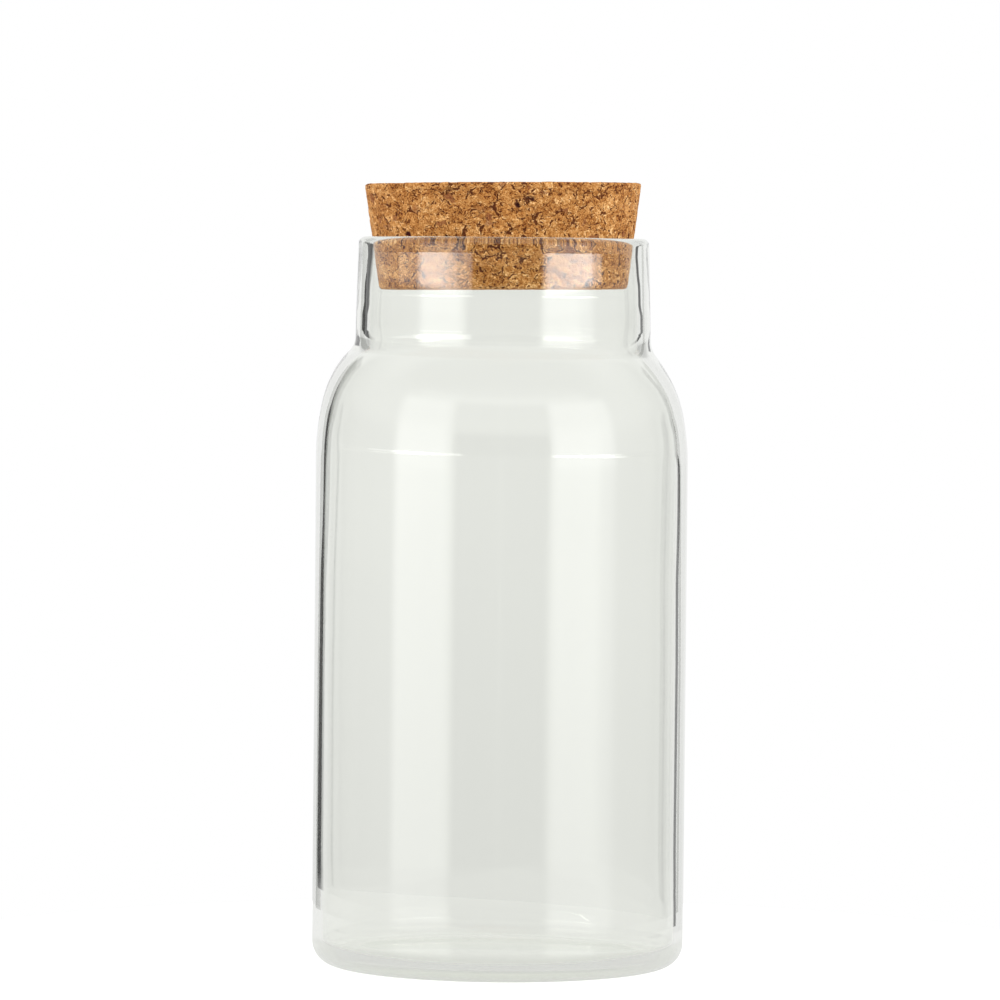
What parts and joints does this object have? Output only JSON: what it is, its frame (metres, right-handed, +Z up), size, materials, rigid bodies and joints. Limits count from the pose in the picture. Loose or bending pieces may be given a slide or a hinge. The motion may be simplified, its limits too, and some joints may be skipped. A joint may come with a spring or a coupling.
{
  "type": "glass storage jar with cork stopper",
  "caption": "Straight-sided clear glass storage jar with a sloped rounded shoulder, a short wide neck with a melted rim, and a tapered agglomerated cork stopper that lifts out.",
  "frame": {"origin": "centre of the jar's resting ring, on the surface that it stands on", "axes": "+Z up along the axis of the jar and the stopper; the piece is round, so X and Y are free, and the picture looks along +Y"},
  "size_m": [0.095, 0.095, 0.1998],
  "materials": {
    "clear_glass": "clear, smooth and glossy, with a faint grey-green cast",
    "agglomerated_cork": "matt, pressed granules with dark gaps"
  },
  "bodies": {
    "jar": {"glass_jar": "clear_glass"},
    "cork": {"cork_stopper": "agglomerated_cork"}
  },
  "joints": [
    {"name": "cork_lift", "type": "slide", "parent": "jar", "child": "cork", "axis": [0, 0, 1], "range_m": [0, 0.06]}
  ]
}
